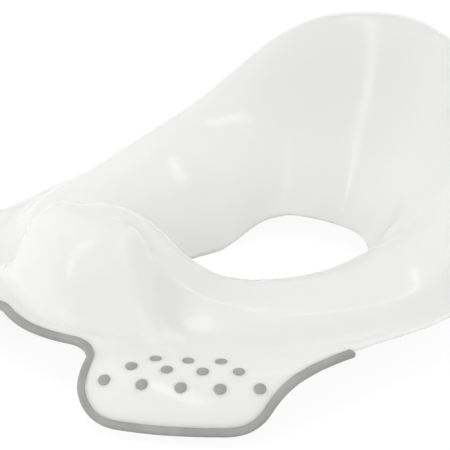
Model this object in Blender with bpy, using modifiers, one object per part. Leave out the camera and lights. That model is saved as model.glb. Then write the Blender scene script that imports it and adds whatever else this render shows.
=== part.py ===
# Toilet seat reducer: a white moulded shell with a splash guard, a backrest and two handles,
# a soft trim along its front edge, and soft studs that pass through each handle.
# Metres, +Z up, +Y towards the backrest. The shell is the same on both sides of X = 0.

import math

import bmesh
import bpy
import numpy as np
from mathutils import Matrix, Vector
from mathutils.bvhtree import BVHTree

# Driving sizes of the shell
OUTLINE_RADIUS = 0.165
FUNNEL_DEPTH = 0.0331
RING_HEIGHT = 0.0119
GUARD_HEIGHT = 0.045
BACKREST_HEIGHT = 0.107
VALLEY_DEPTH = 0.012
WALL = 0.0025
RIM_CUT = 0.0006

# Driving sizes of the handles
HANDLE_ANGLE = 35.6
HANDLE_LENGTH = 0.0484
HANDLE_DROP = 0.0208

# Driving sizes of the trim
TRIM_END_ANGLE = 66.8
TRIM_WIDTH = 0.0046
TRIM_HEIGHT = 0.0041
TRIM_LEG = 0.0026
TRIM_ROUNDING = 0.0013
TRIM_LEG_ROUNDING = 0.0004

# Driving sizes of the grip studs
STUD_HEAD_RADIUS = 0.0035
STUD_HEAD_HEIGHT = 0.0006
STUD_SHANK_RADIUS = 0.0022
STUD_FOOT_RADIUS = 0.0033
STUD_FOOT_HEIGHT = 0.0010
STUD_COUNTS = (3, 4, 5)
STUD_PITCH_ANGLES = (6.25, 6.4, 6.5)
# Place of each row and its skew per stud, as shares of the handle's length
STUD_ROW_SHARES = (0.176, 0.411, 0.684)
STUD_SKEW_SHARES = (0.0186, 0.0124, 0.0062)
# Half of the head's dome: radius share, then height share
STUD_DOME_SHARES = ((0.0, 1.0), (0.55, 0.85), (0.88, 0.5), (1.0, 0.0))

# Clearances and how finely the shapes are divided
GAP = 0.0003
SEAT_GAP = 0.0005
OVERRUN = 0.004
COLUMN_STEP = 0.0115
PATH_STEP_ANGLE = 0.25
STUD_SIDES = 10
MARCH_STEPS = 20
RIGHT_ANGLE = 90.0
CORNER_STEPS = 2
SHARP_ANGLE = 35.0
MERGE = 0.00001

# Radii by angle from the front, as shares of the outline radius
RADIUS_ANGLES = (0, 15, 30, 45, 70, 100, 120, 135, 150, 165, 180)
HOLE_SHARES = (0.51, 0.495, 0.44, 0.385, 0.35, 0.35, 0.375, 0.427, 0.545, 0.590, 0.625)
LIP_SHARES = (0.545, 0.54, 0.53, 0.55, 0.575, 0.61, 0.68, 0.735, 0.79, 0.825, 0.835)
CREST_SHARES = (0.68, 0.68, 0.725, 0.77, 0.82, 0.88, 0.92, 0.945, 0.965, 0.98, 0.985)
OUTLINE_SHARES = (1.022, 0.992, 0.98, 0.978, 0.978, 1.00, 1.015, 1.03, 1.045, 1.055, 1.06)

# Height profiles by angle from the front, as shares of the heights that they spread
GUARD_ANGLES = (0, 8, 16, 25, 35, 45, 55, 180)
GUARD_SHARES = (1.0, 0.95, 0.73, 0.37, 0.12, 0.03, 0.0, 0.0)
LOBE_ANGLES = (0, 13, 16.5, 19.5, 22.5, 26, 31, 180)
LOBE_SHARES = (1.0, 1.0, 0.92, 0.62, 0.24, 0.06, 0.0, 0.0)
VALLEY_ANGLES = (0, 8, 20, 28, 40, 56, 180)
VALLEY_SHARES = (0.0, 0.0, 0.7, 0.9, 0.4, 0.0, 0.0)
BACK_ANGLES = (0, 82, 95, 105, 115, 125, 135, 145, 155, 165, 180)
BACK_SHARES = (0.0, 0.0, 0.025, 0.10, 0.20, 0.33, 0.53, 0.745, 0.89, 0.96, 1.0)
DEPTH_ANGLES = (0, 118, 135, 150, 160, 180)
DEPTH_SHARES = (1.0, 1.0, 0.81, 0.515, 0.42, 0.50)

# Heights of the lip as shares of the ring, guard and backrest heights
LIP_RING_SHARE = 1.28
LIP_GUARD_SHARE = 0.74
LIP_BACK_SHARE = 0.25

# Profile of the funnel: place between hole and lip, then rise at the sides and at the back
FUNNEL_SHARES = ((0.0, 0.0, 0.0), (0.13, 0.27, 0.10), (0.36, 0.62, 0.30), (0.68, 0.90, 0.62),
                 (1.0, 1.0, 1.0))
# Profile of the seat: place between lip and crest, then rise at the sides and at the back, then crown
SEAT_SHARES = ((0.33, 0.33, 0.30, 1.0), (0.66, 0.66, 0.73, 1.0), (0.86, 0.86, 0.94, 0.5),
               (1.0, 1.0, 1.0, 0.0))
CROWN_HEIGHT = 0.0015
# Profile outside the crest: place up to the flange, then height at the sides, front and back,
# then valley, then how far the guard spreads sideways at that place
SLOPE_SHARES = (
    (0.16, 0.92, 1.00, 0.985, 0.45, 1.0),
    (0.34, 0.64, 0.97, 0.90, 0.45, 1.03),
    (0.52, 0.32, 0.82, 0.62, 0.30, 1.10),
    (0.70, 0.09, 0.38, 0.24, 0.0, 1.22),
    (0.86, 0.0, 0.0, 0.0, 0.0, 1.22),
)
# Rows from the foot of the slope to the edge
FLANGE_SHARES = (0.30, 0.50, 0.68, 0.84, 1.0)

# Handle outline: degrees from the handle's axis, then reach
HANDLE_OUTLINE_ANGLES = (-35.6, -28, -23.6, -21.4, -19, -16.6, -16.1, -15.7, -14.9, -13.7, -12.3,
                         -10.7, -8, -4, 1, 6, 9, 10.5, 11.8, 13, 14.1, 15.4, 17.1, 19, 21.4,
                         23.9, 26.5, 29.2, 32, 35, 39, 42.6, 144.4)
HANDLE_OUTLINE_SHARES = (0.0, 0.0, 0.01, 0.07, 0.195, 0.49, 0.65, 0.765, 0.856, 0.925, 0.97,
                         0.993, 1.0, 1.0, 0.996, 0.991, 0.985, 0.968, 0.935, 0.88, 0.80, 0.71,
                         0.605, 0.50, 0.394, 0.292, 0.21, 0.14, 0.095, 0.055, 0.015, 0.0, 0.0)
DROOP_START_SHARE = 0.25
DROOP_POWER = 2.5

# Surface finishes: colour, roughness
FINISHES = {
    "white gloss plastic": ((0.86, 0.86, 0.85, 1.0), 0.18),
    "grey soft plastic": ((0.36, 0.36, 0.35, 1.0), 0.55),
}


def smooth_table(angles, shares):
    # A cubic through hand-chosen points, level at both ends
    x = np.array(angles, float)
    y = np.array(shares, float)
    slope = np.zeros(len(x))
    run = np.diff(x)
    rise = np.diff(y) / run
    for i in range(1, len(x) - 1):
        if rise[i - 1] * rise[i] > 0:
            slope[i] = (rise[i - 1] * run[i] + rise[i] * run[i - 1]) / (run[i - 1] + run[i])

    def value(angle):
        angle = min(max(angle, x[0]), x[-1])
        i = min(int(np.searchsorted(x, angle, side="right")) - 1, len(run) - 1)
        t = (angle - x[i]) / run[i]
        start = (1 + 2 * t) * (1 - t) ** 2 * y[i] + t * (1 - t) ** 2 * run[i] * slope[i]
        end = t * t * (3 - 2 * t) * y[i + 1] + t * t * (t - 1) * run[i] * slope[i + 1]
        return float(start + end)

    return value


hole_share = smooth_table(RADIUS_ANGLES, HOLE_SHARES)
lip_share = smooth_table(RADIUS_ANGLES, LIP_SHARES)
crest_share = smooth_table(RADIUS_ANGLES, CREST_SHARES)
outline_share = smooth_table(RADIUS_ANGLES, OUTLINE_SHARES)
guard_share = smooth_table(GUARD_ANGLES, GUARD_SHARES)
lobe_share = smooth_table(LOBE_ANGLES, LOBE_SHARES)
valley_share = smooth_table(VALLEY_ANGLES, VALLEY_SHARES)
back_share = smooth_table(BACK_ANGLES, BACK_SHARES)
depth_share = smooth_table(DEPTH_ANGLES, DEPTH_SHARES)
reach_share = smooth_table(HANDLE_OUTLINE_ANGLES, HANDLE_OUTLINE_SHARES)


def mix(a, b, weight):
    return a + (b - a) * weight


def edge_radius(angle):
    return OUTLINE_RADIUS * outline_share(angle) + HANDLE_LENGTH * reach_share(angle - HANDLE_ANGLE)


def droop(angle, radius):
    # How far a handle falls below the flange at a distance past the plain outline
    past = (radius - OUTLINE_RADIUS * outline_share(angle)) / HANDLE_LENGTH
    bend = max(past - DROOP_START_SHARE, 0.0) / (1.0 - DROOP_START_SHARE)
    return HANDLE_DROP * bend ** DROOP_POWER


def radius_along(angle, distance):
    # The radius at a distance down the handle's surface from the plain outline
    radius = OUTLINE_RADIUS * outline_share(angle)
    step = distance / MARCH_STEPS
    for _ in range(MARCH_STEPS):
        fall = droop(angle, radius + step) - droop(angle, radius)
        radius += step * step / math.hypot(step, fall)
    return radius


def section(angle):
    # Radius and height of every row of the skin, from the hole out to the edge
    back = back_share(angle)
    hole_r = OUTLINE_RADIUS * hole_share(angle)
    lip_r = OUTLINE_RADIUS * lip_share(angle)
    crest_r = OUTLINE_RADIUS * crest_share(angle)
    outline_r = OUTLINE_RADIUS * outline_share(angle)
    guard_z = GUARD_HEIGHT * guard_share(angle)
    back_z = BACKREST_HEIGHT * back
    hole_z = -FUNNEL_DEPTH * depth_share(angle)
    lip_z = RING_HEIGHT * LIP_RING_SHARE + guard_z * LIP_GUARD_SHARE + back_z * LIP_BACK_SHARE
    crest_z = RING_HEIGHT + guard_z + back_z
    lobe_z = RING_HEIGHT + GUARD_HEIGHT
    rows = []
    for place, side, rear in FUNNEL_SHARES:
        rows.append((mix(hole_r, lip_r, place), mix(hole_z, lip_z, mix(side, rear, back))))
    for place, side, rear, crown in SEAT_SHARES:
        height = mix(lip_z, crest_z, mix(side, rear, back)) + CROWN_HEIGHT * crown * (1.0 - back)
        rows.append((mix(lip_r, crest_r, place), height))
    for place, side, front, rear, valley, spread in SLOPE_SHARES:
        lobe = lobe_share(angle / spread)
        height = mix(mix(crest_z * side, lobe_z * front, lobe), crest_z * rear, back)
        height -= VALLEY_DEPTH * valley * valley_share(angle)
        rows.append((mix(crest_r, outline_r, place), max(height, 0.0)))
    foot_r = rows[-1][0]
    for place in FLANGE_SHARES:
        radius = mix(foot_r, edge_radius(angle), place)
        rows.append((radius, -droop(angle, radius)))
    return rows


def polar(angle, radius, height):
    turn = math.radians(angle)
    return Vector((radius * math.sin(turn), -radius * math.cos(turn), height))


def column_angles():
    # Angles that divide half of the edge into even steps
    angles = np.arange(0.0, 180.0 + PATH_STEP_ANGLE / 2, PATH_STEP_ANGLE)
    points = [polar(a, edge_radius(a), -droop(a, edge_radius(a))) for a in angles]
    run = np.concatenate([[0.0], np.cumsum([(q - p).length for p, q in zip(points, points[1:])])])
    count = round(run[-1] / COLUMN_STEP)
    return [float(a) for a in np.interp(np.linspace(0.0, run[-1], count + 1), run, angles)]


def collection(name):
    group = bpy.data.collections.new(name)
    bpy.context.scene.collection.children.link(group)
    return group


def finish(name):
    colour, roughness = FINISHES[name]
    material = bpy.data.materials.new(name)
    material.use_nodes = True
    shader = material.node_tree.nodes["Principled BSDF"]
    shader.inputs["Base Color"].default_value = colour
    shader.inputs["Roughness"].default_value = roughness
    shader.inputs["Metallic"].default_value = 0.0
    return material


def add_object(name, mesh, group, material=None):
    piece = bpy.data.objects.new(name, mesh)
    group.objects.link(piece)
    if material:
        mesh.materials.append(material)
    return piece


def grid_mesh(name, columns, closed=False):
    # A skin through columns of points, with its front towards rows counted outwards
    mesh = bpy.data.meshes.new(name)
    rows = len(columns[0])
    points = [point for column in columns for point in column]
    faces = []
    for i in range(len(columns) - 1):
        for j in range(rows if closed else rows - 1):
            k = (j + 1) % rows
            faces.append((i * rows + j, i * rows + k, (i + 1) * rows + k, (i + 1) * rows + j))
    if closed:
        faces.append(tuple(range(rows - 1, -1, -1)))
        faces.append(tuple((len(columns) - 1) * rows + j for j in range(rows)))
    mesh.from_pydata(points, [], faces)
    mesh.validate()
    return mesh


def skin_columns(angles):
    return [[polar(angle, radius, height) for radius, height in section(angle)] for angle in angles]


def stud_places(skin):
    # Where each stud of one handle sits: its point on the skin and the skin's normal there
    tree = BVHTree.FromObject(skin, bpy.context.evaluated_depsgraph_get())
    down = Vector((0.0, 0.0, -1.0))
    above = Vector((0.0, 0.0, OVERRUN))

    def touch(x, y):
        return tree.ray_cast(Vector((x, y, 0.0)) + above, down)[0]

    places = []
    for count, pitch, row, skew in zip(STUD_COUNTS, STUD_PITCH_ANGLES, STUD_ROW_SHARES, STUD_SKEW_SHARES):
        for column in range(count):
            step = column - (count - 1) / 2
            angle = HANDLE_ANGLE + pitch * step
            centre = polar(angle, radius_along(angle, HANDLE_LENGTH * (row - skew * step)), 0.0)
            reach = STUD_HEAD_RADIUS
            west = touch(centre.x - reach, centre.y)
            east = touch(centre.x + reach, centre.y)
            south = touch(centre.x, centre.y - reach)
            north = touch(centre.x, centre.y + reach)
            normal = (east - west).cross(north - south).normalized()
            places.append((touch(centre.x, centre.y), normal))
    return places


def facing(point, normal):
    return Matrix.Translation(point) @ normal.to_track_quat("Z", "X").to_matrix().to_4x4()


def mirrored(place):
    point, normal = place
    return Vector((-point.x, point.y, point.z)), Vector((-normal.x, normal.y, normal.z))


def join_holes(places, group):
    # One cutter with a cylinder for every stud
    mesh = bpy.data.meshes.new("stud_holes")
    work = bmesh.new()
    for point, normal in places:
        bmesh.ops.create_cone(
            work, cap_ends=True, segments=STUD_SIDES, radius1=STUD_SHANK_RADIUS + GAP,
            radius2=STUD_SHANK_RADIUS + GAP, depth=2 * (WALL + OVERRUN), matrix=facing(point, normal))
    work.to_mesh(mesh)
    work.free()
    return add_cutter("stud_holes", mesh, group)


def add_cutter(name, mesh, group):
    cutter = add_object(name, mesh, group)
    cutter.hide_render = True
    cutter.display_type = "WIRE"
    return cutter


def rim_cutter(group):
    # A block whose top face trims the funnel's lowest rim flat
    size = 2 * OUTLINE_RADIUS
    mesh = bpy.data.meshes.new("rim_plane")
    work = bmesh.new()
    top = RIM_CUT - FUNNEL_DEPTH
    bmesh.ops.create_cube(work, size=1.0, matrix=(
        Matrix.Translation((0.0, 0.0, top - size / 2)) @ Matrix.Diagonal((size, size, size, 1.0))))
    work.to_mesh(mesh)
    work.free()
    return add_cutter("rim_plane", mesh, group)


def subtract(piece, cutter):
    cut = piece.modifiers.new(cutter.name, "BOOLEAN")
    cut.operation = "DIFFERENCE"
    cut.solver = "EXACT"
    cut.object = cutter


def make_shell(angles, group, cutters, material):
    mesh = grid_mesh("seat_shell", skin_columns(angles))
    shell = add_object("seat_shell", mesh, group, material)
    mesh.shade_smooth()
    bpy.context.view_layer.update()
    places = stud_places(shell)
    mirror = shell.modifiers.new("both sides", "MIRROR")
    mirror.merge_threshold = MERGE
    wall = shell.modifiers.new("wall", "SOLIDIFY")
    wall.thickness = WALL
    wall.offset = -1.0
    wall.use_even_offset = True
    subtract(shell, join_holes(places + [mirrored(place) for place in places], cutters))
    subtract(shell, rim_cutter(cutters))
    return shell, places


def arc(x, y, radius, start):
    # A quarter turn of a rounded corner, clockwise from an angle
    turns = [math.radians(start - RIGHT_ANGLE * i / CORNER_STEPS) for i in range(CORNER_STEPS + 1)]
    return [(x + radius * math.cos(turn), y + radius * math.sin(turn)) for turn in turns]


def trim_profile():
    # A bead outside the shell's edge with a leg under it, as distances from the top of the edge
    low = -TRIM_HEIGHT
    shelf = -WALL - SEAT_GAP
    near = GAP
    far = near + TRIM_WIDTH
    big = TRIM_ROUNDING
    small = TRIM_LEG_ROUNDING
    return [(near, 0.0), *arc(far - big, -big, big, 90), *arc(far - big, low + big, big, 0),
            *arc(small - TRIM_LEG, low + small, small, -90), (-TRIM_LEG, shelf), (near, shelf)]


def make_trim(angles, group, material):
    # Along the edge from behind one handle, round the front, to behind the other
    path = [a for a in angles if a < TRIM_END_ANGLE] + [TRIM_END_ANGLE]
    path = [-a for a in path[:0:-1]] + path
    edges = []
    inners = []
    for angle in path:
        rows = section(abs(angle))
        edges.append(polar(angle, *rows[-1]))
        inners.append(polar(angle, *rows[-2]))
    last = len(path) - 1
    columns = []
    for i, (edge, inner) in enumerate(zip(edges, inners)):
        along = (edges[min(i + 1, last)] - edges[max(i - 1, 0)]).normalized()
        up = (edge - inner).cross(along).normalized()
        out = along.cross(up)
        columns.append([edge + out * x + up * y for x, y in trim_profile()])
    mesh = grid_mesh("edge_trim", columns, closed=True)
    mesh.shade_smooth()
    mesh.set_sharp_from_angle(angle=math.radians(SHARP_ANGLE))
    return add_object("edge_trim", mesh, group, material)


def stud_mesh(material):
    # A low dome, a shank through the wall and a foot under it, turned about Z
    under = -WALL - SEAT_GAP
    foot = under - STUD_FOOT_HEIGHT
    profile = [(STUD_HEAD_RADIUS * r, SEAT_GAP + STUD_HEAD_HEIGHT * z) for r, z in STUD_DOME_SHARES]
    profile += [(STUD_SHANK_RADIUS, SEAT_GAP), (STUD_SHANK_RADIUS, under), (STUD_FOOT_RADIUS, under),
                (STUD_FOOT_RADIUS, foot), (0.0, foot)]
    mesh = bpy.data.meshes.new("grip_stud")
    mesh.from_pydata([(x, 0.0, z) for x, z in profile], [(i, i + 1) for i in range(len(profile) - 1)], [])
    mesh.materials.append(material)
    return mesh


def make_studs(places, group, material):
    mesh = stud_mesh(material)
    studs = []
    for side, spots in (("left", places), ("right", [mirrored(place) for place in places])):
        for number, (point, normal) in enumerate(spots, start=1):
            stud = bpy.data.objects.new(f"grip_stud_{side}_{number:02d}", mesh)
            group.objects.link(stud)
            stud.matrix_world = facing(point, normal)
            turn = stud.modifiers.new("turned", "SCREW")
            turn.steps = STUD_SIDES
            turn.render_steps = STUD_SIDES
            turn.use_merge_vertices = True
            turn.merge_threshold = MERGE
            studs.append(stud)
    return studs


def centre_depth(pieces):
    # Middle of the whole part from front to back
    graph = bpy.context.evaluated_depsgraph_get()
    depths = [(piece.matrix_world @ Vector(corner)).y
              for piece in pieces for corner in piece.evaluated_get(graph).bound_box]
    return (min(depths) + max(depths)) / 2


def main():
    for old in list(bpy.data.objects):
        bpy.data.objects.remove(old, do_unlink=True)
    group = collection("toilet_seat_reducer")
    cutters = collection("cutters")
    white = finish("white gloss plastic")
    grey = finish("grey soft plastic")
    angles = column_angles()
    shell, places = make_shell(angles, group, cutters, white)
    trim = make_trim(angles, group, grey)
    studs = make_studs(places, group, grey)
    bpy.context.view_layer.update()
    frame = bpy.data.objects.new("seat_frame", None)
    group.objects.link(frame)
    frame.location = (0.0, -centre_depth([shell, trim]), FUNNEL_DEPTH - RIM_CUT)
    for piece in [shell, trim, *studs, *cutters.objects]:
        piece.parent = frame


main()
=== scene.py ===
import math

import bpy
import numpy as np
from mathutils import Matrix, Vector
from mathutils.bvhtree import BVHTree


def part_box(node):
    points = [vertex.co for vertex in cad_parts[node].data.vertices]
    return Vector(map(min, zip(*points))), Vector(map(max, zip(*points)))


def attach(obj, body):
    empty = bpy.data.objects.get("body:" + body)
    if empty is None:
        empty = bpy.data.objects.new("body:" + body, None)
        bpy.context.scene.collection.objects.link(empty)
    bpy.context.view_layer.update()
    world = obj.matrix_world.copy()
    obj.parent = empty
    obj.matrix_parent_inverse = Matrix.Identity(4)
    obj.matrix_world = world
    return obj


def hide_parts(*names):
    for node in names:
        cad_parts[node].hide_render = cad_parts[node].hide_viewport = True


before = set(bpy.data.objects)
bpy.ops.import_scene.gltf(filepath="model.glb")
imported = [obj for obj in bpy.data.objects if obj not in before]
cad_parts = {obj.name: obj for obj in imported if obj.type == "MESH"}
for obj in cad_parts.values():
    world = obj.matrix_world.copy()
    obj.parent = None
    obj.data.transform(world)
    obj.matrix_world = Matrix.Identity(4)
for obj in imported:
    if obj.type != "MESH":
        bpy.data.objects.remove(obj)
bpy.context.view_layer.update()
print("frame loaded")

# The moulded seat, in metres: the lip's three values are shares of the heights that it follows
seat = {
    "outlineRadius": 0.165,
    "funnelDepth": 0.0331,
    "ringHeight": 0.0119,
    "guardHeight": 0.045,
    "backrestHeight": 0.107,
    "valleyDepth": 0.012,
    "wall": 0.0025,
    "rimCut": 0.0006,
    "crownHeight": 0.0015,
    "lipRing": 1.28,
    "lipGuard": 0.74,
    "lipBack": 0.25,
    "angleStep": 0.1,
    "columnStep": 0.0024,
    "rowSteps": 4,
    "smoothPasses": 1,
    "creaseShare": 0.8,
    "noseSteps": 4,
}

# Degrees from the front, then radii at those as shares of the outline radius
radiusAngles = (0, 15, 30, 45, 70, 100, 120, 135, 150, 165, 180)
holeShares = (0.51, 0.495, 0.44, 0.385, 0.35, 0.35, 0.375, 0.427, 0.545, 0.590, 0.625)
lipShares = (0.545, 0.54, 0.53, 0.55, 0.575, 0.61, 0.68, 0.735, 0.79, 0.825, 0.835)
crestShares = (0.68, 0.68, 0.725, 0.77, 0.82, 0.88, 0.92, 0.945, 0.965, 0.98, 0.985)
outlineShares = (1.022, 0.992, 0.98, 0.978, 0.978, 1.00, 1.015, 1.03, 1.045, 1.055, 1.06)

# Degrees from the front, then shares of the height, spread or depth that each table shapes
guardTable = ((0, 8, 16, 25, 35, 45, 55, 180), (1.0, 0.95, 0.73, 0.37, 0.12, 0.03, 0.0, 0.0))
lobeTable = ((0, 13, 16.5, 19.5, 22.5, 26, 31, 180), (1.0, 1.0, 0.92, 0.62, 0.24, 0.06, 0.0, 0.0))
valleyTable = ((0, 8, 20, 28, 40, 56, 180), (0.0, 0.0, 0.7, 0.9, 0.4, 0.0, 0.0))
backTable = ((0, 82, 95, 105, 115, 125, 135, 145, 155, 165, 180),
             (0.0, 0.0, 0.025, 0.10, 0.20, 0.33, 0.53, 0.745, 0.89, 0.96, 1.0))
depthTable = ((0, 118, 135, 150, 160, 180), (1.0, 1.0, 0.81, 0.515, 0.42, 0.50))

# Place between hole and lip, then rise at the sides and at the back
funnelShares = ((0.0, 0.0, 0.0), (0.13, 0.27, 0.10), (0.36, 0.62, 0.30), (0.68, 0.90, 0.62),
                (1.0, 1.0, 1.0))
# Place between lip and crest, then rise at the sides and at the back, then crown
seatShares = ((0.33, 0.33, 0.30, 1.0), (0.66, 0.66, 0.73, 1.0), (0.86, 0.86, 0.94, 0.5),
              (1.0, 1.0, 1.0, 0.0))
# Place outside the crest, height at the sides, front and back, valley, and how far the guard spreads
slopeShares = (
    (0.16, 0.92, 1.00, 0.985, 0.45, 1.0),
    (0.34, 0.64, 0.97, 0.90, 0.45, 1.03),
    (0.52, 0.32, 0.82, 0.62, 0.30, 1.10),
    (0.70, 0.09, 0.38, 0.24, 0.08, 1.22),
    (0.86, 0.0, 0.0, 0.0, 0.0, 1.22),
)
flangeShares = (0.30, 0.50, 0.68, 0.84, 1.0)
# The rows that may bend sharply: just outside the crest, on it, and just inside it for the backrest
ringCrease = len(funnelShares) + len(seatShares)
crestRow = ringCrease - 1
backCrease = ringCrease - 2

# The two handles, each round an axis that lies so many degrees from the front
handle = {
    "angle": 35.6,
    "reach": 0.0484,
    "drop": 0.0208,
    "droopStart": 0.25,
    "droopPower": 2.5,
}
# Degrees from the handle's axis, then shares of its reach
reachTable = (
    (-35.6, -28, -23.6, -21.4, -19, -16.6, -16.1, -15.7, -14.9, -13.7, -12.3, -10.7, -8, -4, 1, 6, 9,
     10.5, 11.8, 13, 14.1, 15.4, 17.1, 19, 21.4, 23.9, 26.5, 29.2, 32, 35, 39, 42.6, 144.4),
    (0.0, 0.0, 0.01, 0.07, 0.195, 0.49, 0.65, 0.765, 0.856, 0.925, 0.97, 0.993, 1.0, 1.0, 0.996,
     0.991, 0.985, 0.968, 0.935, 0.88, 0.80, 0.71, 0.605, 0.50, 0.394, 0.292, 0.21, 0.14, 0.095,
     0.055, 0.015, 0.0, 0.0))


def curveBetween(t, start, end, run, leave, reach):
    # A cubic from one value to the next, with the slopes at both ends given
    first = (1 + 2 * t) * (1 - t) ** 2 * start + t * (1 - t) ** 2 * run * leave
    last = t * t * (3 - 2 * t) * end + t * t * (t - 1) * run * reach
    return first + last


def smoothTable(angles, shares):
    # A cubic through listed points, level at both ends
    x = np.array(angles, float)
    y = np.array(shares, float)
    run = np.diff(x)
    rise = np.diff(y) / run
    slope = np.zeros(len(x))
    for i in range(1, len(x) - 1):
        if rise[i - 1] * rise[i] > 0:
            slope[i] = (rise[i - 1] * run[i] + rise[i] * run[i - 1]) / (run[i - 1] + run[i])

    def value(angle):
        angle = np.clip(angle, x[0], x[-1])
        i = np.clip(np.searchsorted(x, angle, side="right") - 1, 0, len(run) - 1)
        return curveBetween((angle - x[i]) / run[i], y[i], y[i + 1], run[i], slope[i], slope[i + 1])

    return value


holeShare = smoothTable(radiusAngles, holeShares)
lipShare = smoothTable(radiusAngles, lipShares)
crestShare = smoothTable(radiusAngles, crestShares)
outlineShare = smoothTable(radiusAngles, outlineShares)
guardShare = smoothTable(*guardTable)
lobeShare = smoothTable(*lobeTable)
valleyShare = smoothTable(*valleyTable)
backShare = smoothTable(*backTable)
depthShare = smoothTable(*depthTable)
reachShare = smoothTable(*reachTable)

_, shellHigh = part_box("seat_shell")
flangeZ = shellHigh.z - seat["ringHeight"] - seat["backrestHeight"]   # top of the flat flange
seatY = shellHigh.y - seat["outlineRadius"] * outlineShares[-1]       # centre that the angles turn about


def mixValues(a, b, weight):
    return a + (b - a) * weight


def edgeRadius(angle):
    reach = handle["reach"] * reachShare(angle - handle["angle"])
    return seat["outlineRadius"] * outlineShare(angle) + reach


def droopAt(angle, radius):
    past = (radius - seat["outlineRadius"] * outlineShare(angle)) / handle["reach"]
    bend = np.maximum(past - handle["droopStart"], 0.0) / (1.0 - handle["droopStart"])
    return handle["drop"] * bend ** handle["droopPower"]


def seatSection(angle):
    # Radius and height of the key rows of the skin for an array of angles, from the hole to the edge
    size = seat["outlineRadius"]
    back = backShare(angle)
    holeR, lipR = size * holeShare(angle), size * lipShare(angle)
    crestR, outlineR = size * crestShare(angle), size * outlineShare(angle)
    guardZ = seat["guardHeight"] * guardShare(angle)
    backZ = seat["backrestHeight"] * back
    holeZ = -seat["funnelDepth"] * depthShare(angle)
    lipZ = seat["ringHeight"] * seat["lipRing"] + guardZ * seat["lipGuard"] + backZ * seat["lipBack"]
    crestZ = seat["ringHeight"] + guardZ + backZ
    lobeZ = seat["ringHeight"] + seat["guardHeight"]
    rows = []
    for place, side, rear in funnelShares:
        rows.append((mixValues(holeR, lipR, place), mixValues(holeZ, lipZ, mixValues(side, rear, back))))
    for place, side, rear, crown in seatShares:
        height = mixValues(lipZ, crestZ, mixValues(side, rear, back))
        rows.append((mixValues(lipR, crestR, place), height + seat["crownHeight"] * crown * (1.0 - back)))
    for place, side, front, rear, valley, spread in slopeShares:
        lobe = lobeShare(angle / spread)
        height = mixValues(mixValues(crestZ * side, lobeZ * front, lobe), crestZ * rear, back)
        height = height - seat["valleyDepth"] * valley * valleyShare(angle)
        rows.append((mixValues(crestR, outlineR, place), np.maximum(height, 0.0)))
    footR = rows[-1][0]
    for place in flangeShares:
        radius = mixValues(footR, edgeRadius(angle), place)
        rows.append((radius, -droopAt(angle, radius)))
    return np.array(rows).transpose(2, 0, 1)


def fineRows(keys, steps, creases):
    # A smooth curve through the key rows of every column, bent more sharply where a row has a crease
    ahead = np.diff(keys, axis=1)
    chord = np.linalg.norm(ahead, axis=2, keepdims=True)
    speed = ahead / chord
    slope = np.empty_like(keys)
    slope[:, 0], slope[:, -1] = speed[:, 0], speed[:, -1]
    near, far = chord[:, :-1], chord[:, 1:]
    slope[:, 1:-1] = (speed[:, :-1] * far + speed[:, 1:] * near) / (near + far)
    leave = mixValues(slope[:, :-1], speed, creases[:, :-1])
    reach = mixValues(slope[:, 1:], speed, creases[:, 1:])
    rows = []
    for i in range(keys.shape[1] - 1):
        for t in np.arange(steps) / steps:
            rows.append(curveBetween(t, keys[:, i], keys[:, i + 1], chord[:, i], leave[:, i], reach[:, i]))
    rows.append(keys[:, -1])
    return np.stack(rows, axis=1)


def smoothGrid(grid, passes):
    # Softens the grid round the seat and, but for the rows at hole and edge, across it
    for _ in range(passes):
        wide = np.concatenate([grid[1:2], grid, grid[-2:-1]])
        grid = (wide[:-2] + 2 * wide[1:-1] + wide[2:]) / 4
        grid[:, 1:-1] = (grid[:, :-2] + 2 * grid[:, 1:-1] + grid[:, 2:]) / 4
    return grid


def unit(vectors):
    return vectors / np.linalg.norm(vectors, axis=-1, keepdims=True)


def seatSkin():
    # Points and outward normals of the upper skin, all the way round
    fine = np.arange(0.0, 180.0 + seat["angleStep"] / 2, seat["angleStep"])
    turn = np.radians(fine)
    radius = edgeRadius(fine)
    path = np.stack([radius * np.sin(turn), -radius * np.cos(turn), -droopAt(fine, radius)], axis=1)
    run = np.concatenate([[0.0], np.cumsum(np.linalg.norm(np.diff(path, axis=0), axis=1))])
    count = round(run[-1] / seat["columnStep"])
    angles = np.interp(np.linspace(0.0, run[-1], count + 1), run, fine)
    keys = seatSection(angles)
    back, valley = backShare(angles), valleyShare(angles)
    creases = np.zeros(keys.shape[:2] + (1,))
    creases[:, ringCrease, 0] = seat["creaseShare"] * (1.0 - back) * (1.0 - valley)
    creases[:, crestRow, 0] = seat["creaseShare"] * valley * (1.0 - lobeShare(angles))
    creases[:, backCrease, 0] = seat["creaseShare"] * back
    grid = smoothGrid(fineRows(keys, seat["rowSteps"], creases), seat["smoothPasses"])
    turn = np.radians(angles)[:, None]
    half = np.stack([grid[..., 0] * np.sin(turn), seatY - grid[..., 0] * np.cos(turn),
                     flangeZ + grid[..., 1]], axis=2)
    half[0, :, 0] = half[-1, :, 0] = 0.0   # both ends lie on the middle plane
    other = half[-2:0:-1] * np.array([-1.0, 1.0, 1.0])
    points = np.concatenate([half, other])
    across = np.gradient(points, axis=1)
    along = np.roll(points, -1, axis=0) - np.roll(points, 1, axis=0)
    return angles, points, unit(np.cross(across, along))


def meshPiece(name, points, faces, material, sharpAngle=None):
    mesh = bpy.data.meshes.new(name)
    mesh.from_pydata(points, [], faces)
    mesh.validate()
    mesh.shade_smooth()
    if sharpAngle:
        mesh.set_sharp_from_angle(angle=math.radians(sharpAngle))
    mesh.materials.append(material)
    piece = bpy.data.objects.new(name, mesh)
    bpy.context.scene.collection.objects.link(piece)
    return piece


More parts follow.
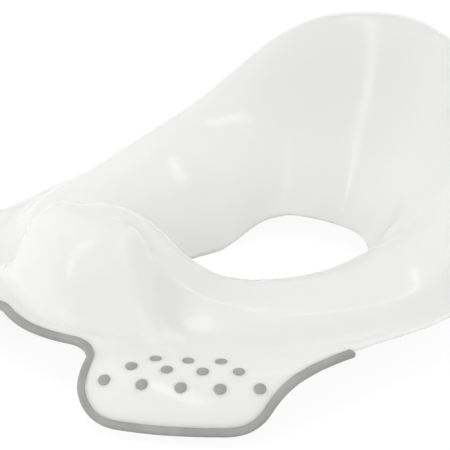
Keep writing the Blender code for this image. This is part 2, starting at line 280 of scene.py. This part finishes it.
def gridFaces(columns, rows, closedColumns=True, closedRows=True):
    # Quads between the columns of a grid of points, which may close both ways
    i = np.arange(columns if closedColumns else columns - 1)[:, None]
    j = np.arange(rows if closedRows else rows - 1)[None, :]
    i2 = (i + 1) % columns
    j2 = (j + 1) % rows
    quads = np.stack([i * rows + j, i * rows + j2, i2 * rows + j2, i2 * rows + j], axis=-1)
    return quads.reshape(-1, 4).tolist()


def inputOf(node, name, value):
    node.inputs[name].default_value = value
    return node


# How finely each noise breaks up, and the part of the slow one that the tones are drawn from
surfaceNoise = {
    "rippleDetail": 1.0,
    "grainDetail": 3.0,
    "toneDetail": 3.0,
    "toneLow": 0.35,
    "toneHigh": 0.65,
}


def mouldedSurfaceGroup():
    # Ripples, fine grain and slow tone changes of a moulded surface
    group = bpy.data.node_groups.new("mouldedSurface", "ShaderNodeTree")
    sockets = (("Ripple Scale", 90.0), ("Grain Scale", 1500.0), ("Grain Share", 0.5), ("Tone Scale", 14.0))
    for name, value in sockets:
        socket = group.interface.new_socket(name=name, in_out="INPUT", socket_type="NodeSocketFloat")
        socket.default_value = value
    for name in ("Height", "Tone", "Haze"):
        group.interface.new_socket(name=name, in_out="OUTPUT", socket_type="NodeSocketFloat")
    nodes, links = group.nodes, group.links
    start = nodes.new("NodeGroupInput")
    end = nodes.new("NodeGroupOutput")
    place = nodes.new("ShaderNodeTexCoord")
    noises = {}
    for name, socket in (("ripple", "Ripple Scale"), ("grain", "Grain Scale"), ("tone", "Tone Scale")):
        noise = nodes.new("ShaderNodeTexNoise")
        noise.label = name
        inputOf(noise, "Detail", surfaceNoise[name + "Detail"])
        links.new(place.outputs["Object"], noise.inputs["Vector"])
        links.new(start.outputs[socket], noise.inputs["Scale"])
        noises[name] = noise
    height = nodes.new("ShaderNodeMix")
    height.data_type = "FLOAT"
    links.new(start.outputs["Grain Share"], height.inputs["Factor"])
    links.new(noises["ripple"].outputs["Fac"], height.inputs["A"])
    links.new(noises["grain"].outputs["Fac"], height.inputs["B"])
    links.new(height.outputs["Result"], end.inputs["Height"])
    tone = nodes.new("ShaderNodeMapRange")
    inputOf(tone, "From Min", surfaceNoise["toneLow"])
    inputOf(tone, "From Max", surfaceNoise["toneHigh"])
    links.new(noises["tone"].outputs["Fac"], tone.inputs["Value"])
    links.new(tone.outputs["Result"], end.inputs["Tone"])
    haze = nodes.new("ShaderNodeMath")
    haze.operation = "MULTIPLY"
    links.new(tone.outputs["Result"], haze.inputs[0])
    links.new(noises["grain"].outputs["Fac"], haze.inputs[1])
    links.new(haze.outputs["Value"], end.inputs["Haze"])
    return group


mouldedSurface = mouldedSurfaceGroup()

whitePlastic = {
    "colour": (0.89, 0.888, 0.872, 1.0),
    "shade": (0.875, 0.875, 0.86, 1.0),
    "roughness": (0.13, 0.2),
    "rippleScale": 70.0,
    "grainScale": 900.0,
    "grainShare": 0.04,
    "toneScale": 9.0,
    "bump": 0.12,
    "bumpDistance": 0.0004,
    "coat": 0.25,
    "coatRoughness": 0.06,
    "glowThrough": 1.0,
    "glowReach": 0.006,
}
greyGrip = {
    "colour": (0.37, 0.37, 0.362, 1.0),
    "shade": (0.32, 0.32, 0.315, 1.0),
    "roughness": (0.52, 0.66),
    "rippleScale": 260.0,
    "grainScale": 2600.0,
    "grainShare": 0.75,
    "toneScale": 60.0,
    "bump": 0.35,
    "bumpDistance": 0.0003,
    "coat": 0.0,
    "coatRoughness": 0.3,
    "glowThrough": 0.0,
    "glowReach": 0.001,
}


def mouldedMaterial(name, look):
    material = bpy.data.materials.new(name)
    material.use_nodes = True
    nodes, links = material.node_tree.nodes, material.node_tree.links
    shader = nodes["Principled BSDF"]
    inputOf(shader, "Coat Weight", look["coat"])
    inputOf(shader, "Coat Roughness", look["coatRoughness"])
    inputOf(shader, "Subsurface Weight", look["glowThrough"])
    inputOf(shader, "Subsurface Radius", (1.0, 1.0, 1.0))
    inputOf(shader, "Subsurface Scale", look["glowReach"])
    surface = nodes.new("ShaderNodeGroup")
    surface.node_tree = mouldedSurface
    for socket, key in (("Ripple Scale", "rippleScale"), ("Grain Scale", "grainScale"),
                        ("Grain Share", "grainShare"), ("Tone Scale", "toneScale")):
        inputOf(surface, socket, look[key])
    colour = nodes.new("ShaderNodeMix")
    colour.data_type = "RGBA"
    inputOf(colour, "A", look["colour"])
    inputOf(colour, "B", look["shade"])
    links.new(surface.outputs["Tone"], colour.inputs["Factor"])
    links.new(colour.outputs["Result"], shader.inputs["Base Color"])
    rough = nodes.new("ShaderNodeMapRange")
    inputOf(rough, "To Min", look["roughness"][0])
    inputOf(rough, "To Max", look["roughness"][1])
    links.new(surface.outputs["Haze"], rough.inputs["Value"])
    links.new(rough.outputs["Result"], shader.inputs["Roughness"])
    bump = nodes.new("ShaderNodeBump")
    inputOf(bump, "Strength", look["bump"])
    inputOf(bump, "Distance", look["bumpDistance"])
    links.new(surface.outputs["Height"], bump.inputs["Height"])
    links.new(bump.outputs["Normal"], shader.inputs["Normal"])
    return material


white = mouldedMaterial("whiteGlossPlastic", whitePlastic)
grey = mouldedMaterial("greySoftGrip", greyGrip)
print("materials made")

angles, skin, normals = seatSkin()


def makeShell():
    # The skin, a rounded outer edge, the underside and a rounded rim round the hole, as one closed loop
    wall = seat["wall"]
    under = skin - normals * wall
    turns = np.pi * np.arange(1, seat["noseSteps"]) / seat["noseSteps"]
    loops = [skin]
    for end, sign in ((-1, 1.0), (0, -1.0)):   # the outer edge, then the hole
        top, low = skin[:, end], under[:, end]
        middle = (top + low) / 2
        along = np.roll(top, -1, axis=0) - np.roll(top, 1, axis=0)
        out = unit(np.cross(along, normals[:, end])) * sign
        spread = turns if sign > 0 else turns[::-1]
        nose = [middle + normals[:, end] * wall / 2 * math.cos(t) + out * wall / 2 * math.sin(t)
                for t in spread]
        loops.append(np.stack(nose, axis=1))
        if sign > 0:
            loops.append(under[:, ::-1])
    loop = np.concatenate(loops, axis=1)
    rim = flangeZ - seat["funnelDepth"] + seat["rimCut"]
    loop[..., 2] = np.maximum(loop[..., 2], rim)
    faces = gridFaces(len(loop), loop.shape[1])
    return meshPiece("mouldedShell", loop.reshape(-1, 3).tolist(), faces, white)


shell = makeShell()
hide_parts("seat_shell")
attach(shell, "root")
print("shell made")

# The soft bead outside the front edge and both handles
trim = {
    "farAngle": -65.4,
    "nearAngle": 68.2,
    "gap": 0.0001,
    "width": 0.0048,
    "height": 0.0041,
    "leg": 0.0024,
    "legTop": 0.0027,
    "cornerRadius": 0.0016,
    "smallRadius": 0.0004,
    "cornerSteps": 6,
    "smallSteps": 3,
    "step": 0.0016,
    "capLength": 0.0024,
    "capSteps": 8,
    "tipShare": 0.02,
    "sharpAngle": 50.0,
}


def roundedCorner(x, y, radius, start, steps):
    turns = np.radians(start - 90.0 * np.arange(steps + 1) / steps)
    return np.stack([x + radius * np.cos(turns), y + radius * np.sin(turns)], axis=1)


def trimProfile():
    # Outward and upward from the top of the shell's edge, clockwise
    near, far, low = trim["gap"], trim["gap"] + trim["width"], -trim["height"]
    big, bigSteps = trim["cornerRadius"], trim["cornerSteps"]
    small, smallSteps = trim["smallRadius"], trim["smallSteps"]
    corners = [
        roundedCorner(near + small, -small, small, 180, smallSteps),
        roundedCorner(far - big, -big, big, 90, bigSteps),
        roundedCorner(far - big, low + big, big, 0, bigSteps),
        roundedCorner(small - trim["leg"], low + small, small, -90, smallSteps),
        np.array([(-trim["leg"], -trim["legTop"] - small), (small - trim["leg"], -trim["legTop"]),
                  (near, -trim["legTop"])]),
    ]
    return np.concatenate(corners)


def makeTrim():
    # The profile carried along the skin's outer edge, through the front, and rounded off at both ends
    half = len(angles)
    order = list(range(half, len(skin))) + list(range(half))
    turn = np.concatenate([-angles[-2:0:-1], angles])
    edge = skin[order, -1]
    along = unit(np.gradient(edge, axis=0))
    up = normals[order, -1]
    out = unit(np.cross(along, up))
    run = np.concatenate([[0.0], np.cumsum(np.linalg.norm(np.diff(edge, axis=0), axis=1))])
    start, end = np.interp([trim["farAngle"], trim["nearAngle"]], turn, run)
    cap = trim["capLength"]
    bends = np.radians(90.0 * np.arange(trim["capSteps"]) / trim["capSteps"])
    widths = np.sin(bends)
    middle = np.linspace(start + cap, end - cap, round((end - start - 2 * cap) / trim["step"]))
    bulge = cap * np.cos(bends)
    places = np.concatenate([start + cap - bulge, middle, end - cap + bulge[::-1]])
    sizes = np.concatenate([widths, np.ones(len(middle)), widths[::-1]])
    profile = trimProfile()
    centre = np.array([trim["gap"] + trim["width"] / 2, -trim["height"] / 2])
    columns = []
    for place, size in zip(places, sizes):
        at = np.array([np.interp(place, run, edge[:, k]) for k in range(3)])
        side = unit(np.array([np.interp(place, run, out[:, k]) for k in range(3)]))
        rise = unit(np.array([np.interp(place, run, up[:, k]) for k in range(3)]))
        shape = centre + (profile - centre) * max(size, trim["tipShare"])
        columns.append([at + side * x + rise * y for x, y in shape])
    rows = len(profile)
    points = [tuple(p) for column in columns for p in column]
    faces = gridFaces(len(columns), rows, closedColumns=False)
    faces.append(list(range(rows))[::-1])
    faces.append([(len(columns) - 1) * rows + j for j in range(rows)])
    return meshPiece("softEdgeTrim", points, faces, grey, sharpAngle=trim["sharpAngle"])


softTrim = makeTrim()
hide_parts("edge_trim")
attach(softTrim, "root")
print("trim made")

# The raised grip dots, each with a shank through the wall and a foot under it
gripStud = {
    "radius": 0.0034,
    "height": 0.00055,
    "sideHeight": 0.0002,
    "domePower": 0.8,
    "sideDepth": 0.0003,
    "headDepth": 0.0004,
    "shankRadius": 0.0022,
    "footRadius": 0.0033,
    "footTop": 0.0028,
    "footLow": 0.0040,
    "footBevel": 0.0003,
    "sides": 40,
    "domeSteps": 10,
    "sharpAngle": 40.0,
}


def studMesh():
    # A turned profile from the top of the dome down to the foot
    radius, shank, foot = gripStud["radius"], gripStud["shankRadius"], gripStud["footRadius"]
    top, side, low = gripStud["height"], gripStud["sideHeight"], gripStud["footLow"]
    steps, bevel = gripStud["domeSteps"], gripStud["footBevel"]
    profile = []
    for i in range(1, steps + 1):
        turn = math.pi / 2 * i / steps
        reach = radius * math.sin(turn) ** gripStud["domePower"]
        profile.append((reach, side + (top - side) * math.cos(turn)))
    profile += [(radius, 0.0), (radius, -gripStud["sideDepth"]), (shank, -gripStud["headDepth"]),
                (shank, -gripStud["footTop"]), (foot, -gripStud["footTop"]), (foot, bevel - low),
                (foot - bevel, -low)]
    sides = gripStud["sides"]
    points = [(0.0, 0.0, top)]
    for reach, height in profile:
        for k in range(sides):
            turn = 2 * math.pi * k / sides
            points.append((reach * math.cos(turn), reach * math.sin(turn), height))
    points.append((0.0, 0.0, -low))
    faces = []
    for k in range(sides):
        k2 = (k + 1) % sides
        faces.append((0, 1 + k, 1 + k2))
        for r in range(len(profile) - 1):
            a, b = 1 + r * sides, 1 + (r + 1) * sides
            faces.append((a + k, b + k, b + k2, a + k2))
        last = 1 + (len(profile) - 1) * sides
        faces.append((last + k, len(points) - 1, last + k2))
    return points, faces


def makeStuds():
    # Each stud stands square to the skin at the place of its solid
    points, faces = studMesh()
    skinFaces = gridFaces(len(skin), skin.shape[1], closedRows=False)
    tree = BVHTree.FromPolygons(skin.reshape(-1, 3).tolist(), skinFaces)
    for node in sorted(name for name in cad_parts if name.startswith("grip_stud")):
        low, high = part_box(node)
        spot, normal, _, _ = tree.find_nearest((low + high) / 2)
        if normal.z < 0:
            normal = -normal
        name = node.replace("grip_stud", "softStud")
        stud = meshPiece(name, points, faces, grey, sharpAngle=gripStud["sharpAngle"])
        stud.matrix_world = Matrix.Translation(spot) @ normal.to_track_quat("Z", "X").to_matrix().to_4x4()
        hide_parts(node)
        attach(stud, "root")


makeStuds()
print("studs made")

# Floor and world: the glow and the shadow's colour are what is seen, the rest lights the seat
studio = {
    "floorSize": 6.0,
    "floorDrop": 0.0005,
    "floorColour": (0.72, 0.72, 0.72, 1.0),
    "shadowColour": (0.15, 0.15, 0.15, 1.0),
    "floorGlow": 0.9,
    "skyColour": (1.0, 1.0, 1.0, 1.0),
    "skyLevel": 0.71,
}


def seenRays(nodes, links):
    # 1 for what the camera sees directly, in a reflection or through glass
    rays = nodes.new("ShaderNodeLightPath")
    seen = rays.outputs["Is Camera Ray"]
    for name in ("Is Glossy Ray", "Is Transmission Ray"):
        either = nodes.new("ShaderNodeMath")
        either.operation = "MAXIMUM"
        links.new(seen, either.inputs[0])
        links.new(rays.outputs[name], either.inputs[1])
        seen = either.outputs["Value"]
    return seen


def makeFloor():
    material = bpy.data.materials.new("paleFloor")
    material.use_nodes = True
    nodes, links = material.node_tree.nodes, material.node_tree.links
    nodes.remove(nodes["Principled BSDF"])
    plain = inputOf(nodes.new("ShaderNodeBsdfDiffuse"), "Color", studio["floorColour"])
    faint = inputOf(nodes.new("ShaderNodeBsdfDiffuse"), "Color", studio["shadowColour"])
    glow = inputOf(nodes.new("ShaderNodeEmission"), "Strength", studio["floorGlow"])
    shown = nodes.new("ShaderNodeAddShader")
    links.new(faint.outputs["BSDF"], shown.inputs[0])
    links.new(glow.outputs["Emission"], shown.inputs[1])
    either = nodes.new("ShaderNodeMixShader")
    links.new(seenRays(nodes, links), either.inputs["Fac"])
    links.new(plain.outputs["BSDF"], either.inputs[1])
    links.new(shown.outputs["Shader"], either.inputs[2])
    links.new(either.outputs["Shader"], nodes["Material Output"].inputs["Surface"])
    half = studio["floorSize"] / 2
    corners = [(-half, -half, 0.0), (half, -half, 0.0), (half, half, 0.0), (-half, half, 0.0)]
    floor = meshPiece("studioFloor", corners, [(0, 1, 2, 3)], material)
    floor.location.z = -studio["floorDrop"]


def makeSky():
    world = bpy.data.worlds.new("studioSky")
    bpy.context.scene.world = world
    world.use_nodes = True
    nodes, links = world.node_tree.nodes, world.node_tree.links
    light = nodes["Background"]
    inputOf(light, "Color", studio["skyColour"])
    inputOf(light, "Strength", studio["skyLevel"])
    shown = inputOf(nodes.new("ShaderNodeBackground"), "Color", studio["skyColour"])
    either = nodes.new("ShaderNodeMixShader")
    links.new(seenRays(nodes, links), either.inputs["Fac"])
    links.new(light.outputs["Background"], either.inputs[1])
    links.new(shown.outputs["Background"], either.inputs[2])
    links.new(either.outputs["Shader"], nodes["World Output"].inputs["Surface"])


# Azimuth from +X and elevation in degrees, distance, width and height in metres, roll and brightness
softboxes = {
    "sideStrip": (-117.5, 22.0, 1.5, 0.16, 1.05, 0.0, 1.5),
    "overheadStrip": (-84.0, 70.0, 1.5, 1.0, 0.14, -41.0, 2.1),
    "rearStrip": (99.0, 59.0, 1.5, 0.9, 0.07, 0.0, 2.4),
    "leftSoftbox": (-165.0, 15.0, 1.7, 1.2, 1.0, 0.0, 1.0),
    "frontSoftbox": (-108.0, 20.0, 1.7, 1.2, 1.0, 0.0, 2.1),
    "rightSoftbox": (10.0, 25.0, 1.7, 1.2, 1.0, 0.0, 1.65),
    "rearSoftbox": (110.0, 20.0, 1.7, 1.5, 1.0, 0.0, 1.0),
}


def directionTo(azimuth, elevation):
    turn, rise = math.radians(azimuth), math.radians(elevation)
    return Vector((math.cos(turn) * math.cos(rise), math.sin(turn) * math.cos(rise), math.sin(rise)))


def makeSoftboxes():
    aim = Vector((0.0, seatY, flangeZ))
    for name, (azimuth, elevation, distance, width, height, roll, level) in softboxes.items():
        away = directionTo(azimuth, elevation)
        lamp = bpy.data.lights.new(name, "AREA")
        lamp.shape = "RECTANGLE"
        lamp.size = width
        lamp.size_y = height
        lamp.energy = level * math.pi * width * height
        box = bpy.data.objects.new(name, lamp)
        box.visible_glossy = name.endswith("Strip")   # the large ones only fill the shadows
        bpy.context.scene.collection.objects.link(box)
        facing = (-away).to_track_quat("-Z", "Y").to_matrix().to_4x4()
        spin = Matrix.Rotation(math.radians(roll), 4, "Z")
        box.matrix_world = Matrix.Translation(aim + away * distance) @ facing @ spin


makeFloor()
makeSky()
makeSoftboxes()
print("studio made")

# The camera, solved from the outlines in the picture: pixels are those of the 450-pixel frame
view = {
    "turn": -45.0,
    "rise": 22.5,
    "distance": 1.2,
    "pixelsPerMetre": 1550.0,
    "centrePixel": (236.0, 243.56),
    "framePixels": 450.0,
    "sensor": 36.0,
}


def makeCamera():
    turn = math.radians(view["turn"])
    out = directionTo(view["turn"], view["rise"])
    right = Vector((-math.sin(turn), math.cos(turn), 0.0))
    up = out.cross(right)
    middle = view["framePixels"] / 2
    scale = view["pixelsPerMetre"]
    x, y = view["centrePixel"]
    aim = Vector((0.0, seatY, flangeZ)) + right * (middle - x) / scale + up * (y - middle) / scale
    data = bpy.data.cameras.new("studioCamera")
    data.sensor_width = view["sensor"]
    data.lens = view["sensor"] * view["distance"] * scale / view["framePixels"]
    camera = bpy.data.objects.new("studioCamera", data)
    bpy.context.scene.collection.objects.link(camera)
    turned = Matrix((right, up, out)).transposed().to_4x4()
    camera.matrix_world = Matrix.Translation(aim + out * view["distance"]) @ turned
    bpy.context.scene.camera = camera


makeCamera()
bpy.context.scene.view_settings.view_transform = "Standard"
print("camera made")
